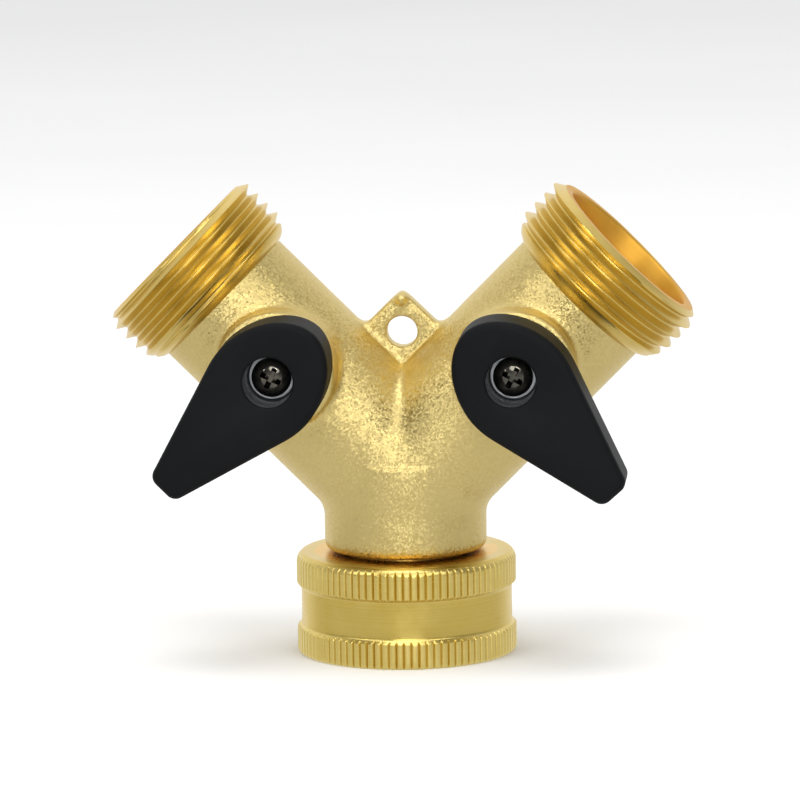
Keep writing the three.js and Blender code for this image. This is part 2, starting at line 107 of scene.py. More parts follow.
def outward(verts, faces):
    return faces if volume(verts, faces) > 0 else [f[::-1] for f in faces]


def soften(profile, r, closed=True, n=3):
    """Each corner of a profile turned into a small curve. r is one size, or one per corner."""
    out, count = [], len(profile)
    sizes = [r] * count if np.isscalar(r) else list(r)
    for i, p in enumerate(profile):
        if not closed and i in (0, count - 1):
            out.append(tuple(p))
            continue
        p = np.array(p, float)
        a = np.array(profile[i - 1], float)
        b = np.array(profile[(i + 1) % count], float)
        la, lb = np.linalg.norm(a - p), np.linalg.norm(b - p)
        t = min(sizes[i], 0.45 * la, 0.45 * lb)
        if t < 1e-4:
            out.append(tuple(p))
            continue
        q0, q1 = p + (a - p) / la * t, p + (b - p) / lb * t
        for k in range(n + 1):
            s = k / n
            out.append(tuple((1 - s) ** 2 * q0 + 2 * s * (1 - s) * p + s * s * q1))
    return out


def revolve(name, profile, n, matrix=None, closed=True):
    """A profile of (radius, height) turned about Z: a closed loop, or a line from axis to axis."""
    rings, verts, faces = [], [], []
    for r, z in profile:
        if r < 1e-6:
            rings.append([len(verts)] * n)
            verts.append((0, 0, z))
        else:
            rings.append(list(range(len(verts), len(verts) + n)))
            verts += [(r * math.cos(2 * math.pi * i / n), r * math.sin(2 * math.pi * i / n), z) for i in range(n)]
    last = len(rings) if closed else len(rings) - 1
    for j in range(last):
        a, b = rings[j], rings[(j + 1) % len(rings)]
        for i in range(n):
            k = (i + 1) % n
            f = []
            for v in (a[i], a[k], b[k], b[i]):
                if v not in f:
                    f.append(v)
            if len(f) > 2:
                faces.append(f)
    return mesh_of(name, verts, outward(verts, faces), matrix)


THREAD_U = (0, 0.035, 0.09, 0.2, 0.31, 0.4, 0.455, 0.5)
THREAD_R = (0, 0.05, 0.22, 0.53, 0.84, 1.07, 1.145, 1.16)
THREAD_KNOTS = list(THREAD_U) + [1 - u for u in THREAD_U[-2:0:-1]]


def thread_drop(u):
    u = np.abs((np.asarray(u) + 0.5) % 1.0 - 0.5)
    return np.interp(u, THREAD_U, THREAD_R)


def thread_plug(name, z0, z1, crest_z, crest_angle, radius, n=112, matrix=None):
    """A closed bar with a right-handed thread. A crest passes crest_z at crest_angle.
    radius(profile drop, z) gives the surface, so run-outs and chamfers follow it."""
    lo = int(math.floor((z0 - crest_z) / PITCH)) - 2
    hi = int(math.ceil((z1 - crest_z) / PITCH)) + 2
    knots = np.array([k + u for k in range(lo, hi) for u in THREAD_KNOTS])
    m = len(THREAD_KNOTS)
    a = 2 * math.pi * np.arange(n) / n
    turn = (a - crest_angle) / (2 * math.pi)
    z = np.clip(crest_z + PITCH * (knots[None, :] + turn[:, None]), z0, z1)
    u = (z - crest_z) / PITCH - turn[:, None]
    r = radius(thread_drop(u), z)
    x, y = r * np.cos(a)[:, None], r * np.sin(a)[:, None]
    pts = np.stack([x, y, z], -1)
    flat = np.round(pts.reshape(-1, 3), 5)
    verts, index = np.unique(flat, axis=0, return_inverse=True)
    index = index.reshape(n, -1)
    rows = index.shape[1]
    faces = []
    for i in range(n):
        wrap = i == n - 1
        for j in range(rows - 1):
            jj, jk = (j + m, j + 1 + m) if wrap else (j, j + 1)
            if jk >= rows:
                jj, jk = min(jj, rows - 1), rows - 1
            k = 0 if wrap else i + 1
            f = []
            for v in (index[i, j], index[k, jj], index[k, jk], index[i, j + 1]):
                v = int(v)
                if v not in f:
                    f.append(v)
            if len(f) > 2:
                faces.append(f)
        if wrap:  # rows of the first column below one turn meet the last column's lowest row
            for j in range(m):
                f = []
                for v in (index[i, 0], index[0, j], index[0, j + 1]):
                    v = int(v)
                    if v not in f:
                        f.append(v)
                if len(f) > 2:
                    faces.append(f)
    faces.append([int(v) for v in index[::-1, 0]])
    faces.append([int(v) for v in index[:, -1]])
    faces = outward(verts, faces)
    return mesh_of(name, verts, faces, matrix)


def prism(name, outline, z0, z1, matrix=None):
    n = len(outline)
    verts = [(x, y, z0) for x, y in outline] + [(x, y, z1) for x, y in outline]
    faces = [list(range(n))[::-1], list(range(n, 2 * n))]
    faces += [[i, (i + 1) % n, n + (i + 1) % n, n + i] for i in range(n)]
    return mesh_of(name, verts, outward(verts, faces), matrix)


def sector(name, r0, r1, a0, a1, z0, z1, matrix=None, n=24):
    t = [a0 + (a1 - a0) * i / n for i in range(n + 1)]
    outline = [(r1 * math.cos(a), r1 * math.sin(a)) for a in t] + [(r0 * math.cos(a), r0 * math.sin(a)) for a in t[::-1]]
    return prism(name, outline, z0, z1, matrix)


def join(a, b, operation="DIFFERENCE"):
    """a joined with b, or cut by it. b goes."""
    m = a.modifiers.new("join", "BOOLEAN")
    m.operation, m.solver, m.object = operation, "MANIFOLD", b
    graph = bpy.context.evaluated_depsgraph_get()
    me = bpy.data.meshes.new_from_object(a.evaluated_get(graph))
    a.modifiers.clear()
    if not len(me.polygons) or len(me.vertices) == len(a.data.vertices):
        raise RuntimeError(f"{a.name}: the boolean with {b.name} did nothing")
    old, a.data = a.data, me
    bpy.data.meshes.remove(old)
    other = b.data
    bpy.data.objects.remove(b)
    bpy.data.meshes.remove(other)
    return a


def centres(me):
    out = np.zeros(len(me.polygons) * 3)
    me.polygons.foreach_get("center", out)
    return out.reshape(-1, 3)


def place(o, body, replaces, materials, index=None, sharp=35.0, smooth=True):
    """Scales to metres, shades, gives materials, and puts the piece on its body."""
    me = o.data
    me.transform(Matrix.Translation((0, AXIS_Y, 0)) @ Matrix.Scale(0.001, 4))
    me.materials.clear()
    for m in materials:
        me.materials.append(m)
    if index is not None:
        me.polygons.foreach_set("material_index", np.asarray(index, np.int32))
    else:
        me.polygons.foreach_set("material_index", np.zeros(len(me.polygons), np.int32))
    if smooth:
        me.shade_smooth()
        me.set_sharp_from_angle(angle=math.radians(sharp))
    me.update()
    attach(o, body)
    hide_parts(*replaces)
    return o


# ---------------------------------------------------------------- materials
class Nodes:
    def __init__(self, name):
        self.m = bpy.data.materials.new(name)
        self.m.use_nodes = True
        self.t = self.m.node_tree
        self.b = self.t.nodes["Principled BSDF"]
        self.coord = self.t.nodes.new("ShaderNodeTexCoord").outputs["Object"]

    def node(self, kind, **inputs):
        n = self.t.nodes.new(kind)
        for k, v in inputs.items():
            self.put(n.inputs[k.replace("_", " ")], v)
        return n

    def put(self, socket, v):
        if isinstance(v, bpy.types.NodeSocket):
            self.t.links.new(v, socket)
        else:
            socket.default_value = v

    def math(self, op, a, b=None, clamp=False):
        n = self.t.nodes.new("ShaderNodeMath")
        n.operation, n.use_clamp = op, clamp
        self.put(n.inputs[0], a)
        if b is not None:
            self.put(n.inputs[1], b)
        return n.outputs[0]

    def vector(self, op, a, b=None, scale=None):
        n = self.t.nodes.new("ShaderNodeVectorMath")
        n.operation = op
        self.put(n.inputs[0], a)
        if b is not None:
            self.put(n.inputs[1], b)
        if scale is not None:
            n.inputs["Scale"].default_value = scale
        return n.outputs[0]

    def noise(self, scale, detail=2.0, rough=0.5, coord=None, dims="3D"):
        n = self.t.nodes.new("ShaderNodeTexNoise")
        n.noise_dimensions = dims
        if dims == "1D":
            self.put(n.inputs["W"], coord)
        else:
            self.put(n.inputs["Vector"], coord or self.coord)
        n.inputs["Scale"].default_value = scale
        n.inputs["Detail"].default_value = detail
        n.inputs["Roughness"].default_value = rough
        return n.outputs["Fac"]

    def cells(self, scale, coord=None):
        n = self.t.nodes.new("ShaderNodeTexVoronoi")
        self.put(n.inputs["Vector"], coord or self.coord)
        n.inputs["Scale"].default_value = scale
        return n

    def ramp(self, fac, stops):
        n = self.t.nodes.new("ShaderNodeValToRGB")
        self.put(n.inputs["Fac"], fac)
        e = n.color_ramp.elements
        while len(e) < len(stops):
            e.new(0.5)
        for el, (pos, c) in zip(e, stops):
            el.position = pos
            el.color = (*c, 1) if not np.isscalar(c) else (c, c, c, 1)
        return n.outputs["Color"]

    def span(self, fac, lo, hi, a=0.0, b=1.0):
        n = self.t.nodes.new("ShaderNodeMapRange")
        self.put(n.inputs["Value"], fac)
        n.inputs["From Min"].default_value, n.inputs["From Max"].default_value = a, b
        n.inputs["To Min"].default_value, n.inputs["To Max"].default_value = lo, hi
        return n.outputs["Result"]

    def bump(self, height, distance, strength=1.0, normal=None):
        n = self.t.nodes.new("ShaderNodeBump")
        n.inputs["Strength"].default_value = strength
        n.inputs["Distance"].default_value = distance
        self.put(n.inputs["Height"], height)
        if normal is not None:
            self.put(n.inputs["Normal"], normal)
        return n.outputs["Normal"]

    def xyz(self, coord=None):
        n = self.t.nodes.new("ShaderNodeSeparateXYZ")
        self.put(n.inputs[0], coord or self.coord)
        return n.outputs

    def set(self, **inputs):
        for k, v in inputs.items():
            self.put(self.b.inputs[k.replace("_", " ")], v)
        return self


def cast_brass():
    n = Nodes("cast_brass")
    broad = n.noise(140, 3, 0.55)
    fine = n.noise(4300, 3.0, 0.65)
    grain = n.cells(4600)
    spark = n.xyz(grain.outputs["Color"])[2]
    tint = n.math("ADD", n.math("MULTIPLY", broad, 0.45), n.math("MULTIPLY", spark, 0.55))
    colour = n.ramp(tint, [(0.15, (0.66, 0.515, 0.19)), (0.85, (0.77, 0.62, 0.265))])
    rough = n.span(spark, 0.36, 0.50)
    # Every grain of the sand finish is a small facet with its own tilt
    middle = n.vector("SUBTRACT", grain.outputs["Color"], (0.5, 0.5, 0.5))
    tilt = n.vector("SCALE", middle, None, 0.30)
    facets = n.vector("NORMALIZE", n.vector("ADD", n.t.nodes.new("ShaderNodeNewGeometry").outputs["Normal"], tilt))
    normal = n.bump(fine, 0.000016, 0.7, facets)
    n.set(Base_Color=colour, Metallic=1.0, Roughness=rough, Normal=normal)
    return n.m


def turned_brass(name, dark, light, rough, axis, depth=0.000004, rings=5200.0):
    """axis: which way the tool marks are stacked: leg, z or y."""
    n = Nodes(name)
    x, y, z = n.xyz()[:3]
    if axis == "leg":
        s = n.math("MULTIPLY", n.math("ADD", n.math("ABSOLUTE", x), z), R2)
    else:
        s = {"z": z, "y": y}[axis]
    marks = n.noise(rings, 3, 0.6, s, "1D")
    broad = n.noise(260, 3, 0.6)
    colour = n.ramp(n.math("ADD", n.math("MULTIPLY", marks, 0.35), n.math("MULTIPLY", broad, 0.65)), [(0.35, dark), (0.65, light)])
    r = n.span(broad, rough - 0.05, rough + 0.07, 0.35, 0.65)
    n.set(Base_Color=colour, Metallic=1.0, Roughness=r, Normal=n.bump(marks, depth, 1.0, n.bump(n.noise(900, 2), 0.00001, 0.5)))
    return n.m


def plastic(name, rough, grain, ior, lift=1):
    n = Nodes(name)
    broad = n.noise(90, 3, 0.6)
    fine = n.noise(5200, 2, 0.5)
    # lift makes the colour lighter; above 1 it is painted light
    colour = n.ramp(broad, [(0.3, (0.0040 * lift, 0.0044 * lift, 0.0050 * lift)), (0.7, (0.0058 * lift, 0.0062 * lift, 0.0069 * lift))])
    n.set(Base_Color=colour, Metallic=0.0, Roughness=n.span(fine, rough - 0.05, rough + 0.05, 0.3, 0.7), Normal=n.bump(fine, grain, 0.5))
    n.b.inputs["IOR"].default_value = ior
    return n.m


def plain(name, lo, hi, metal, rough, scale=400, grain=0.00001, ior=1.5):
    n = Nodes(name)
    f = n.noise(scale, 3, 0.6)
    n.set(Base_Color=n.ramp(f, [(0.35, lo), (0.65, hi)]), Metallic=metal, Roughness=n.span(f, rough * 0.85, rough * 1.15, 0.35, 0.65), Normal=n.bump(n.noise(scale * 5, 2), grain, 0.5))
    n.b.inputs["IOR"].default_value = ior
    return n.m


M_CAST = cast_brass()
M_THREAD = turned_brass("threaded_brass", (0.68, 0.495, 0.135), (0.76, 0.57, 0.18), 0.31, "leg", rings=4200)
# Bores, the neck's underside and the seat retainer: darker, more orange brass than the threads, as painted shade
# inside the bores
M_BORE_PAINTED_SHADE = turned_brass("bored_brass_painted_shade", (0.66, 0.35, 0.045), (0.74, 0.42, 0.068), 0.46, "leg", 0.000008, 3000)
M_NUT = turned_brass("nut_brass", (0.64, 0.465, 0.100), (0.72, 0.545, 0.15), 0.30, "z", 0.000006, 4200)
# The knurled bands: lighter brass than the rest of the nut, as painted light on the teeth
M_KNURL_PAINTED_LIGHT = turned_brass("knurled_brass_painted_light", (0.72, 0.55, 0.15), (0.80, 0.63, 0.21), 0.32, "z", 0.000005, 3600)
M_NUT_IN = turned_brass("nut_bore_brass", (0.74, 0.44, 0.07), (0.82, 0.52, 0.10), 0.28, "z", 0.000006, 4200)
M_TURNED = turned_brass("turned_brass", (0.74, 0.48, 0.10), (0.82, 0.56, 0.14), 0.25, "z")
M_PLASTIC = plastic("black_plastic", 0.55, 0.00002, 1.2)
# The screw recess: the same black plastic, its colour lifted 13 times as painted light on the lit recess wall, with a
# glossier finish
M_RECESS_PAINTED_LIGHT = plastic("black_plastic_polished_painted_light", 0.3, 0.000003, 1.6, 13)
M_SCREW = plain("black_screw", (0.085, 0.080, 0.070), (0.145, 0.135, 0.11), 1.0, 0.10, 900, 0.000003)
M_ZINC = plain("zinc_plate", (0.74, 0.77, 0.80), (0.84, 0.86, 0.89), 1.0, 0.5, 1200)
M_PTFE = plain("white_ptfe", (0.80, 0.79, 0.75), (0.87, 0.86, 0.82), 0.0, 0.42, 600)
M_RUBBER = plain("black_rubber", (0.016, 0.016, 0.016), (0.024, 0.024, 0.024), 0.0, 0.7, 700, 0.00003)
M_CHROME = plain("plated_ball", (0.70, 0.70, 0.69), (0.76, 0.76, 0.75), 1.0, 0.08, 500, 0.000002)

# ------------------------------------------------------------- body casting
def smin(a, b, k):
    h = np.maximum(k - np.abs(a - b), 0) / k
    return np.minimum(a, b) - h * h * k * 0.25


def smax(a, b, k):
    return -smin(-a, -b, k)


def casting(x, y, z):
    """Distance to the casting's outside, before its waterways."""
    zz = z - JUNCTION_Z
    neck = np.maximum(np.hypot(x, y) - NECK_R, zz - 2)
    legs = None
    bosses = None
    for _, side in SIDES:
        s = R2 * (side * x + zz)
        p = R2 * (side * x - zz)
        sc = np.maximum(s, 0)
        leg = np.sqrt((s - sc) ** 2 + p * p + y * y) - LEG_R
        leg = np.maximum(leg, s - 34.4)
        boss = smax(np.hypot(s - STEM_S, p) - BOSS_R, -y - BOSS_FACE_Y, 0.9)
        boss = np.maximum(boss, y)
        legs = leg if legs is None else smin(legs, leg, 1.1)
        bosses = boss if bosses is None else np.minimum(bosses, boss)
    d = smax(smin(legs, neck, 1.0), NECK_BOTTOM_Z - z, 1.3)
    d = smin(d, bosses, 1.1)
    ax = np.sqrt(x * x + 0.58 * 0.58)
    diamond = (ax + z - 49.48) * R2
    flat = smin(np.maximum(np.maximum(z - 44.72, np.abs(x) - 8), 34 - z), np.maximum(diamond, 34 - z), 0.5)
    tab = smax(flat, np.abs(y) - 1.5, 0.75)
    bead = np.sqrt(x * x + (y + 1.45) ** 2 + (z - 47.9) ** 2) - 0.62
    tab = smin(tab, bead, 0.5)
    d = smin(d, tab, 0.7)
    hole = np.hypot(x, z - 43.6) - 2.05
    return smax(d, -hole, 0.45)


def surface_net(f, lo, hi, h):
    """The zero surface of f as quads, then pulled onto f itself."""
    n = [int(math.ceil((b - a) / h)) + 1 for a, b in zip(lo, hi)]
    axes = [a + h * np.arange(c) for a, c in zip(lo, n)]
    g = np.meshgrid(*axes, indexing="ij")
    d = f(*g).astype(np.float64)
    inside = d < 0
    shape = tuple(c - 1 for c in n)
    total = np.zeros(shape + (3,))
    count = np.zeros(shape)
    corner = [(i, j, k) for i in (0, 1) for j in (0, 1) for k in (0, 1)]

    def view(a, c):
        return a[c[0]:c[0] + shape[0], c[1]:c[1] + shape[1], c[2]:c[2] + shape[2]]

    for axis in range(3):
        for c in corner:
            if c[axis]:
                continue
            e = list(c)
            e[axis] = 1
            a, b = view(d, c), view(d, e)
            hit = (a < 0) != (b < 0)
            t = np.where(hit, a / np.where(hit, a - b, 1), 0)
            for q in range(3):
                total[..., q] += np.where(hit, c[q] + (t if q == axis else 0), 0)
            count += hit
    active = count > 0
    index = -np.ones(shape, np.int64)
    index[active] = np.arange(active.sum())
    cell = np.argwhere(active)
    v = (cell + total[active] / count[active][:, None]) * h + np.array(lo)
    faces = []
    for axis in range(3):
        u, w = (axis + 1) % 3, (axis + 2) % 3
        sl0 = [slice(1, -1)] * 3
        sl0[axis] = slice(0, n[axis] - 1)
        sl1 = list(sl0)
        sl1[axis] = slice(1, n[axis])
        a, b = inside[tuple(sl0)], inside[tuple(sl1)]
        at = np.argwhere(a != b)
        flip = a[tuple(at.T)]
        at = at + 1
        at[:, axis] -= 1
        quad = []
        for du, dw in ((-1, -1), (0, -1), (0, 0), (-1, 0)):
            p = at.copy()
            p[:, u] += du
            p[:, w] += dw
            quad.append(index[tuple(p.T)])
        q = np.stack(quad, 1)
        q[~flip] = q[~flip][:, ::-1]
        faces.append(q)
    faces = np.concatenate(faces)
    e = 0.02
    for _ in range(4):
        x, y, z = v.T
        here = f(x, y, z)
        grad = np.stack([
            (f(x + e, y, z) - f(x - e, y, z)), (f(x, y + e, z) - f(x, y - e, z)), (f(x, y, z + e) - f(x, y, z - e)),
        ], 1) / (2 * e)
        size = np.maximum((grad ** 2).sum(1), 0.05)
        step = (here / size)[:, None] * grad
        long = np.linalg.norm(step, axis=1, keepdims=True)
        v = v - step * np.minimum(1, 0.5 * h / np.maximum(long, 1e-9))
    return v, faces


def ripple(v):
    """The slight unevenness of a sand casting, along a fixed sum of waves."""
    rng = np.random.default_rng(7)
    out = np.zeros(len(v))
    for k in range(26):
        w = rng.normal(size=3)
        w *= rng.uniform(0.5, 1.7) / np.linalg.norm(w)
        out += np.sin(v @ w + rng.uniform(0, 6.28))
    return 0.0016 * out


GRID = 0.36
verts, faces = surface_net(casting, (-33.4, -15.4, 12.8), (33.4, 12.4, 57.4), GRID)
e = 0.05
x, y, z = verts.T
normal = np.stack([casting(x + e, y, z) - casting(x - e, y, z), casting(x, y + e, z) - casting(x, y - e, z), casting(x, y, z + e) - casting(x, y, z - e)], 1)
normal /= np.maximum(np.linalg.norm(normal, axis=1, keepdims=True), 1e-9)
verts = verts + normal * (ripple(verts) - 0.02)[:, None]
body = mesh_of("valve_body_visual", verts, faces.tolist())


def male_radius(drop, s):
    crest = np.interp(s, [33.0, 33.95, 34.12, 34.3, 34.75, 35.35, 36.7, 37.0], [10.2, 10.3, 10.62, 11.25, 11.9, 12.35, 13.2, 13.2])
    full = np.where(s > 34.6, 13.2 - drop, 99)
    tip = np.interp(s, [42.25, 42.45, 43.1, LEG_END_S], [13.3, 13.1, 12.05, 11.8])
    return np.minimum(np.minimum(crest, full), tip)


for name, side in SIDES:
    leg, valve = leg_matrix(side), valve_matrix(side)
    plug = thread_plug(name, 32.0, LEG_END_S, OUTER_CREST_S, 0.0 if side < 0 else math.pi, male_radius, 128, leg)
    join(body, plug, "UNION")
    at = side * math.radians(135)
    join(body, sector("lug", 4.25, 5.95, at - math.radians(11), at + math.radians(11), BOSS_FACE_Y - 0.6, 15.6, valve, 8), "UNION")
join(body, revolve("neck_bore", soften([
    (0, 10), (9.25, 10), (9.25, NECK_BOTTOM_Z), (8.7, NECK_BOTTOM_Z + 0.5), (8.7, 20.8), (7.0, 20.8), (7.0, JUNCTION_Z + 1), (0, JUNCTION_Z + 3.5),
], 0.12, False), 72, None, False))
for name, side in SIDES:
    leg, valve = leg_matrix(side), valve_matrix(side)
    join(body, revolve("leg_bore", [
        (0, 0), (5.2, 0), (5.2, CHAMBER_S), (CHAMBER_R, CHAMBER_S), (CHAMBER_R, MOUTH_DEPTH_S - 0.3), (CHAMBER_R + 0.3, MOUTH_DEPTH_S), (MOUTH_R - 0.15, MOUTH_DEPTH_S), (MOUTH_R, MOUTH_DEPTH_S + 0.15),
        (MOUTH_R, LEG_END_S - 0.35), (MOUTH_R + 0.12, LEG_END_S - 0.12), (MOUTH_R + 0.35, LEG_END_S), (MOUTH_R + 0.35, LEG_END_S + 2), (0, LEG_END_S + 2),
    ], 96, leg, False))
    join(body, revolve("stem_bore", [(0, 5), (4.2, 5), (4.2, 9.4), (3.0, 9.4), (3.0, 20), (0, 20)], 48, valve, False))

c = centres(body.data)
ax, zz = np.abs(c[:, 0]), c[:, 2] - JUNCTION_Z
s, p = R2 * (ax + zz), R2 * (ax - zz)
rad = np.hypot(p, c[:, 1])
index = np.zeros(len(c), int)
index[(s > 34.06) & (rad > 10.62)] = 1
index[(s > 42.9)] = 1
# Index 2: the bores and the neck's underside, in the brass with painted shade
index[(rad < MOUTH_R + 0.02) & (s > 5) & (c[:, 1] > -9.5)] = 2
index[(rad < MOUTH_R + 0.36) & (s > 36.5)] = 2
index[(np.hypot(c[:, 0], c[:, 1]) < 9.3) & (c[:, 2] < 24)] = 2
index[(np.abs(c[:, 2] - NECK_BOTTOM_Z) < 0.05) & (np.hypot(c[:, 0], c[:, 1]) < 10.4)] = 2
place(body, "valve_body", ["valve_body"], [M_CAST, M_THREAD, M_BORE_PAINTED_SHADE], index)

# ---------------------------------------------------------------- swivel nut
TEETH = 91
rng = np.random.default_rng(11)
phases = (0.0, 0.09, 0.19, 0.26, 0.5, 0.74, 0.81, 0.91)
drops = (0.34, 0.17, 0.03, 0.0, 0.0, 0.0, 0.03, 0.17)
angle, land = [], []
for k in range(TEETH):
    depth, wear, shift = rng.uniform(0.8, 1.15), rng.uniform(0.0, 0.05), rng.uniform(-0.03, 0.03)
    for f, g in zip(phases, drops):
        angle.append(2 * math.pi * (k + f + (shift if 0.2 < f < 0.8 else 0)) / TEETH)
        land.append(14.85 - g * depth - wear)
angle, land = np.array(angle), np.array(land)
shoulder = [(14.85 - 1.1 * (1 - math.cos(a)), 12.35 + 1.32 * math.sin(a)) for a in np.linspace(0, math.pi / 2, 15)]
outer = [(13.0, 0.0), (14.3, 0.0), (14.48, 0.04), (14.62, 0.12), (14.75, 0.26), (14.83, 0.42), (14.87, 0.6)]
outer += [(14.87, 1.6), (14.87, 2.7), (14.87, 3.25), (14.82, 3.42), (14.70, 3.55), (14.5, 3.72), (14.34, 3.86), (14.28, 3.98), (14.26, 4.2)]
outer += [(14.25, 5.4), (14.25, 6.6), (14.25, 7.8), (14.26, 8.72), (14.28, 8.93), (14.34, 9.05), (14.5, 9.19), (14.70, 9.36), (14.82, 9.49), (14.87, 9.66), (14.87, 10.6), (14.87, 11.6)]
outer += shoulder + [(13.3, 13.67), (12.4, 13.67)]
n = len(angle)
verts, faces = [], []
for r, z in outer:
    rr = np.minimum(r, land) if r > 14.3 else np.full(n, r)
    if 13.7 < r <= 14.3 and z > 12:
        rr = np.minimum(r, land)
    verts += list(zip(rr * np.cos(angle), rr * np.sin(angle), [z] * n))
for j in range(len(outer) - 1):
    for i in range(n):
        k = (i + 1) % n
        faces.append([j * n + i, j * n + k, (j + 1) * n + k, (j + 1) * n + i])
faces.append(list(range(n))[::-1])
faces.append(list(range((len(outer) - 1) * n, len(outer) * n)))
nut = mesh_of("swivel_nut_visual", verts, outward(verts, faces))


def female_radius(drop, s):
    r = 13.34 - drop
    mouth = np.interp(s, [-1.0, 0.0, 0.9, 1.6], [13.75, 13.75, 12.9, 12.2])
    relief = np.interp(s, [5.2, 5.8], [12.2, 13.34])
    return np.maximum(np.maximum(r, mouth), relief)


join(nut, thread_plug("nut_thread", -1.0, 6.3, 1.25, 0.0, female_radius, 96))
join(nut, revolve("nut_recess", soften([(0, 6.1), (12.65, 6.1), (12.65, 11.8), (9.2, 11.8), (9.2, 15), (0, 15)], 0.15, False), 96, None, False))
c = centres(nut.data)
index = (np.hypot(c[:, 0], c[:, 1]) < 13.8) & (c[:, 2] < 13.5)
index |= np.hypot(c[:, 0], c[:, 1]) < 9.3
index = index.astype(int)
# Index 2: the knurled bands, in the brass with painted light
index[(np.hypot(c[:, 0], c[:, 1]) > 14.3) & (c[:, 2] > 0.05)] = 2
place(nut, "swivel_nut", ["swivel_nut"], [M_NUT, M_NUT_IN, M_KNURL_PAINTED_LIGHT], index)

# --------------------------------------------------- tail piece, ring, washer
tail = revolve("tailpiece_visual", soften([
    (7.0, 9.4), (11.9, 9.4), (11.9, 10.7), (8.4, 10.7), (8.4, 16.1), (7.6, 16.1), (7.6, 17.6), (8.4, 17.6), (8.4, 20.1), (8.0, 20.5), (7.0, 20.5),
], 0.14), 80)
place(tail, "valve_body", ["inlet_tailpiece"], [M_TURNED])
washer = revolve("hose_washer_visual", soften([
    (7.6, 6.7), (11.6, 6.7), (12.25, 7.35), (12.25, 9.0), (11.95, 9.3), (7.6, 9.3),
], 0.3, True, 4), 80)
place(washer, "inlet_washer", ["inlet_washer"], [M_RUBBER])


def ring(name, r, tube, z, matrix=None):
    return revolve(name, [(r + tube * math.cos(a), z + tube * math.sin(a)) for a in np.linspace(0, 2 * math.pi, 13)[:-1]], 48, matrix)


place(ring("tailpiece_ring_visual", 8.1, 0.4, 16.85), "valve_body", ["tailpiece_oring"], [M_RUBBER])

# -------------------------------------------------------------- lever handle
def hull(points):
    pts = sorted(set((round(float(a), 6), round(float(b), 6)) for a, b in points))

    def half(seq):
        out = []
        for q in seq:
            while len(out) > 1 and (out[-1][0] - out[-2][0]) * (q[1] - out[-2][1]) - (out[-1][1] - out[-2][1]) * (q[0] - out[-2][0]) <= 1e-9:
                out.pop()
            out.append(q)
        return out[:-1]

    return np.array(half(pts) + half(pts[::-1]))


def handle_outline(count=240):
    t = np.linspace(0, 2 * math.pi, 721)[:-1]
    c, s = np.cos(t), np.sin(t)
    e = 2 / 1.89
    oval = np.stack([0.99 + 9.83 * np.sign(c) * np.abs(c) ** e, 7.52 * np.sign(s) * np.abs(s) ** e], 1)
    pts = list(oval)
    r, v, u = 1.55, 2.6 - 1.55, 20.32 - 1.55
    for sign in (1, -1):
        for a in np.linspace(0, math.pi / 2, 25):
            pts.append((u + r * math.cos(a), sign * (v + r * math.sin(a))))
    p = hull(pts)
    q = np.vstack([p, p[:1]])
    run = np.concatenate([[0], np.cumsum(np.linalg.norm(np.diff(q, axis=0), axis=1))])
    at = np.linspace(0, run[-1], count + 1)[:-1]
    p = np.stack([np.interp(at, run, q[:, 0]), np.interp(at, run, q[:, 1])], 1)
    tangent = np.roll(p, -2, 0) - np.roll(p, 2, 0)
    tangent /= np.linalg.norm(tangent, axis=1, keepdims=True)
    return p, np.stack([tangent[:, 1], -tangent[:, 0]], 1)


def handle_mesh(name, matrix):
    p, out = handle_outline()
    h0, h1, edge = HANDLE_BACK_Y, HANDLE_FRONT_Y, 0.95
    rows = [(0.45, h0), (0.18, h0 + 0.06), (0.04, h0 + 0.22), (0.0, h0 + 0.5)]
    rows += [(0.0, h0 + (h1 - edge - h0) * f) for f in (0.3, 0.6, 0.9, 1.0)]
    rows += [(edge * (1 - math.cos(a)), h1 - edge + edge * math.sin(a)) for a in np.linspace(0, math.pi / 2, 8)[1:]]
    n = len(p)
    verts, faces = [], []
    for inset, y in rows:
        q = p - out * inset
        verts += [(a, b, y) for a, b in q]
    for j in range(len(rows) - 1):
        for i in range(n):
            k = (i + 1) % n
            faces.append([j * n + i, j * n + k, (j + 1) * n + k, (j + 1) * n + i])
    faces.append(list(range(n))[::-1])
    faces.append(list(range((len(rows) - 1) * n, len(rows) * n)))
    return mesh_of(name, verts, outward(verts, faces), matrix)


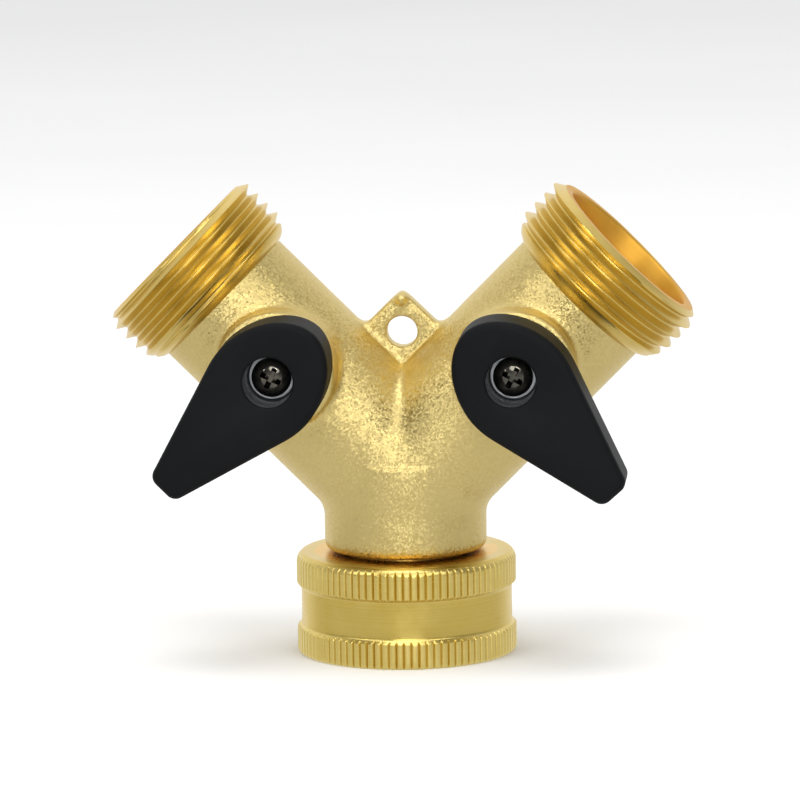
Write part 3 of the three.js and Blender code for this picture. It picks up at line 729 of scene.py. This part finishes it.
for name, side in SIDES:
    leg = leg_matrix(side)
    valve = valve_matrix(side, SLACK if side > 0 else 0)
    arm = f"{name}_valve"
    handle = handle_mesh(f"{name}_handle_visual", valve)
    h0, h1 = HANDLE_BACK_Y, HANDLE_FRONT_Y
    join(handle, revolve("recess", [
        (0, 16.3), (3.1, 16.3), (3.28, 16.48), (3.28, h1 - 0.5), (3.31, h1 - 0.34), (3.38, h1 - 0.18), (3.5, h1 - 0.06), (3.66, h1), (3.66, h1 + 1), (0, h1 + 1),
    ], 72, valve, False))
    drive = prism("drive", [(2.9 * math.cos(a), max(-2.45, min(2.45, 2.9 * math.sin(a)))) for a in np.linspace(0, 2 * math.pi, 49)[:-1]], h0 - 1, 17, valve)
    join(handle, drive)
    at = side * math.radians(135)
    a0, a1 = (at - math.radians(106), at + math.radians(16)) if side > 0 else (at - math.radians(16), at + math.radians(106))
    join(handle, sector("pocket", 3.9, 6.35, a0, a1, h0 - 1, 15.9, valve))
    local = centres(handle.data)
    inv = np.array(valve.inverted())
    local = local @ inv[:3, :3].T + inv[:3, 3]
    rr = np.hypot(local[:, 0], local[:, 1])
    # Index 1: the screw recess, in the plastic with painted light
    index = ((rr < 3.32) & (local[:, 2] < h1 - 0.34)).astype(int)
    place(handle, arm, [f"{name}_handle"], [M_PLASTIC, M_RECESS_PAINTED_LIGHT], index, 28)

    screw = revolve(f"{name}_screw_visual", [
        (0, 10.9), (0.95, 10.9), (1.35, 11.4), (1.35, 16.85), (2.5, 16.9), (2.62, 16.98), (2.65, 17.15), (2.65, 17.55),
        (2.58, 17.85), (2.38, 18.17), (2.05, 18.45), (1.6, 18.65), (1.0, 18.77), (0.5, 18.8), (0, 18.8),
    ], 64, valve, False)
    for turn in (0.35, 0.35 + math.pi / 2):
        c_, s_ = math.cos(turn), math.sin(turn)
        slot_ = []
        for zc, half_l, half_w in ((17.35, 0.75, 0.2), (19.2, 1.75, 0.42)):
            slot_.append([(c_ * a - s_ * b, s_ * a + c_ * b, zc) for a, b in ((-half_l, -half_w), (half_l, -half_w), (half_l, half_w), (-half_l, half_w))])
        v8 = slot_[0] + slot_[1]
        f8 = [[3, 2, 1, 0], [4, 5, 6, 7]] + [[i, (i + 1) % 4, 4 + (i + 1) % 4, 4 + i] for i in range(4)]
        join(screw, mesh_of("cross", v8, outward(v8, f8), valve))
    place(screw, arm, [f"{name}_handle_screw"], [M_SCREW], None, 30)
    plate = revolve(f"{name}_screw_washer_visual", soften([(1.65, 16.35), (3.05, 16.35), (3.05, 16.8), (1.65, 16.8)], 0.1), 64, valve)
    place(plate, arm, [f"{name}_screw_washer"], [M_ZINC])

    # ball with its bore and drive slot
    ball = revolve(f"{name}_ball_visual", [(7.2 * math.cos(a), 7.2 * math.sin(a)) for a in np.linspace(-math.pi / 2, math.pi / 2, 37)], 72, valve, False)
    cross_bore = revolve("bore", soften([(0, -10), (4.75, -10), (4.75, 10), (0, 10)], 0.0, False), 56, valve @ Matrix.Rotation(math.pi / 2, 4, "Y"), False)
    join(ball, cross_bore)
    join(ball, prism("slot", [(-1.5, -10), (1.5, -10), (1.5, 10), (-1.5, 10)], 5.0, 10, valve))
    place(ball, arm, [f"{name}_ball"], [M_CHROME])

    # seats and the ring that holds them
    for end, d in (("inner", -1), ("outer", 1)):
        lip = [(7.5 * math.cos(a), d * 7.5 * math.sin(a)) for a in np.linspace(math.asin(4.2 / 7.5), math.acos(4.95 / 7.5), 9)]
        seat = revolve(f"{name}_seat_{end}_visual", [(4.95, d * 9.0), (8.2, d * 9.0), (8.35, d * 8.85), (8.35, d * 4.2)] + lip, 72, leg @ Matrix.Translation((0, 0, STEM_S)))
        place(seat, "valve_body", [f"{name}_seat_{end}"], [M_PTFE])
    r0, r1 = STEM_S + 9.3, STEM_S + 13.8
    keep = revolve(f"{name}_seat_retainer_visual", soften([(5.8, r0), (8.35, r0), (8.35, r1 - 0.4), (7.95, r1), (5.8, r1)], 0.15), 80, leg)
    join(keep, prism("slots", [(-15, -1.1), (15, -1.1), (15, 1.1), (-15, 1.1)], r1 - 0.8, r1 + 0.8, leg))
    place(keep, "valve_body", [f"{name}_seat_retainer"], [M_BORE_PAINTED_SHADE])

    # stem, its rings and its washer
    stem = revolve(f"{name}_stem_visual", soften([
        (0, 7.6), (3.9, 7.6), (3.9, 8.5), (2.85, 8.5), (2.85, 10.2), (2.1, 10.2), (2.1, 11.3), (2.85, 11.3), (2.85, 12.1),
        (2.1, 12.1), (2.1, 13.2), (2.85, 13.2), (2.85, 14.2), (2.6, 14.2), (2.6, 16.15), (0, 16.15),
    ], 0.08, False), 56, valve, False)
    for d in (-1, 1):
        join(stem, prism("flat", [(-4, d * 2.15), (4, d * 2.15), (4, d * 6), (-4, d * 6)], 14.2, 18, valve))
    join(stem, revolve("tap", [(0, 10.5), (1.5, 10.5), (1.5, 18), (0, 18)], 32, valve, False))
    join(stem, prism("tongue", [(-1.2, -3.0), (1.2, -3.0), (1.2, 3.0), (-1.2, 3.0)], 5.3, 8.1, valve), "UNION")
    place(stem, arm, [f"{name}_stem"], [M_TURNED])
    place(ring(f"{name}_stem_ring_lower_visual", 2.54, 0.34, 10.75, valve), arm, [f"{name}_stem_oring_lower"], [M_RUBBER])
    place(ring(f"{name}_stem_ring_upper_visual", 2.54, 0.34, 12.65, valve), arm, [f"{name}_stem_oring_upper"], [M_RUBBER])
    pad = revolve(f"{name}_stem_washer_visual", soften([(3.05, 8.56), (3.9, 8.56), (3.9, 9.34), (3.05, 9.34)], 0.1), 48, valve)
    place(pad, arm, [f"{name}_stem_washer"], [M_PTFE])

# ------------------------------------------------------------- light and floor
def stage_floor():
    n = Nodes("pale_floor")
    f = n.noise(8, 2, 0.5)
    n.set(Base_Color=n.ramp(f, [(0.3, (0.90, 0.90, 0.90)), (0.7, (0.92, 0.92, 0.92))]), Metallic=0.0, Roughness=0.85)
    n.b.inputs["Specular IOR Level"].default_value = 0.1
    me = bpy.data.meshes.new("floor")
    s = 6.0
    me.from_pydata([(-s, -s, 0), (s, -s, 0), (s, s, 0), (-s, s, 0)], [], [[0, 1, 2, 3]])
    me.materials.append(n.m)
    o = bpy.data.objects.new("floor", me)
    bpy.context.scene.collection.objects.link(o)
    o.visible_glossy = False


stage_floor()
world = bpy.data.worlds.new("studio")
bpy.context.scene.world = world
world.use_nodes = True
t = world.node_tree
t.nodes.clear()
out = t.nodes.new("ShaderNodeOutputWorld")
bg = t.nodes.new("ShaderNodeBackground")
coord = t.nodes.new("ShaderNodeTexCoord")
split = t.nodes.new("ShaderNodeSeparateXYZ")
t.links.new(coord.outputs["Generated"], split.inputs[0])


def world_node(kind, **settings):
    n = t.nodes.new(kind)
    for k, v in settings.items():
        setattr(n, k, v)
    return n


def world_span(value, a, b, lo, hi):
    n = world_node("ShaderNodeMapRange")
    n.inputs["From Min"].default_value, n.inputs["From Max"].default_value = a, b
    n.inputs["To Min"].default_value, n.inputs["To Max"].default_value = lo, hi
    t.links.new(value, n.inputs["Value"])
    return n.outputs["Result"]


# Dim towards the front, white behind and above
turned = world_node("ShaderNodeVectorMath", operation="DOT_PRODUCT")
t.links.new(coord.outputs["Generated"], turned.inputs[0])
turned.inputs[1].default_value = (-0.16, 0.985, 0.0)
front = world_span(turned.outputs["Value"], -0.65, 0.8, 0.0, 1.0)
curve = world_node("ShaderNodeMath", operation="POWER")
t.links.new(front, curve.inputs[0])
curve.inputs[1].default_value = 1.7
around = world_span(curve.outputs[0], 0.0, 1.0, 0.24, 1.05)
above = world_span(split.outputs["Z"], 0.35, 0.95, 0.0, 0.25)
# The pale table top as the part's own surfaces see it
below = world_span(split.outputs["Z"], 0.06, -0.12, 0.0, 1.0)
fade = world_span(curve.outputs[0], 0.0, 0.6, 0.56, 0.0)
table = world_node("ShaderNodeMath", operation="MULTIPLY")
t.links.new(below, table.inputs[0])
t.links.new(fade, table.inputs[1])
total = world_node("ShaderNodeMath", operation="ADD")
t.links.new(around, total.inputs[0])
t.links.new(above, total.inputs[1])
sum_all = world_node("ShaderNodeMath", operation="ADD")
t.links.new(total.outputs[0], sum_all.inputs[0])
t.links.new(table.outputs[0], sum_all.inputs[1])
t.links.new(sum_all.outputs[0], bg.inputs["Strength"])
bg.inputs["Color"].default_value = (1.0, 1.0, 1.0, 1)
t.links.new(bg.outputs[0], out.inputs["Surface"])

FOCUS = Vector((0, AXIS_Y, 0.034))


def lamp(name, azimuth, elevation, distance, size, power, shape="DISK", size_y=None, spread=180.0):
    a, el = math.radians(azimuth), math.radians(elevation)
    back = Vector((math.sin(a) * math.cos(el), -math.cos(a) * math.cos(el), math.sin(el)))
    data = bpy.data.lights.new(name, "AREA")
    data.shape = shape
    data.size = size
    if size_y:
        data.size_y = size_y
    data.energy = power
    data.spread = math.radians(spread)
    o = bpy.data.objects.new(name, data)
    bpy.context.scene.collection.objects.link(o)
    o.location = FOCUS + back * distance
    o.rotation_euler = (-back).to_track_quat("-Z", "Y").to_euler()
    return o


lamp("key", 5, 18.5, 1.0, 0.5, 2.3)
lamp("spark", 6, 12.5, 1.0, 0.04, 0.30)
lamp("spark_left", -24, 14, 1.0, 0.03, 0.12)
lamp("spark_low", 2, 3.0, 1.1, 0.025, 0.12)
lamp("upper_left", -45, 31, 1.0, 0.4, 1.6, "RECTANGLE", 0.5)
lamp("upper_right", 40, 31, 1.0, 0.4, 1.35, "RECTANGLE", 0.5)
lamp("top", 0, 70, 1.0, 0.6, 2.9, "RECTANGLE", 0.45)
# Lights the floor; left out of reflections
lamp("overhead", 0, 86, 1.4, 1.2, 6.5, "RECTANGLE", 1.2).visible_glossy = False

# --------------------------------------------------------------------- camera
az, el, roll, distance = math.radians(5.0), math.radians(9.3), math.radians(-0.9), 0.7504
target = Vector((-0.000516, AXIS_Y, 0.03407))
back = Vector((math.sin(az) * math.cos(el), -math.cos(az) * math.cos(el), math.sin(el)))
right = Vector((math.cos(az), math.sin(az), 0))
up = back.cross(right)
r2 = right * math.cos(roll) + up * math.sin(roll)
u2 = -right * math.sin(roll) + up * math.cos(roll)
data = bpy.data.cameras.new("camera")
data.sensor_width = 36
data.lens = 5566.7 / 800 * 36
data.clip_start, data.clip_end = 0.05, 20
camera = bpy.data.objects.new("camera", data)
bpy.context.scene.collection.objects.link(camera)
m = Matrix((r2, u2, back)).transposed().to_4x4()
m.translation = target + back * distance
camera.matrix_world = m
bpy.context.scene.camera = camera
bpy.context.scene.view_settings.view_transform = "Standard"
bpy.context.scene.view_settings.look = "None"
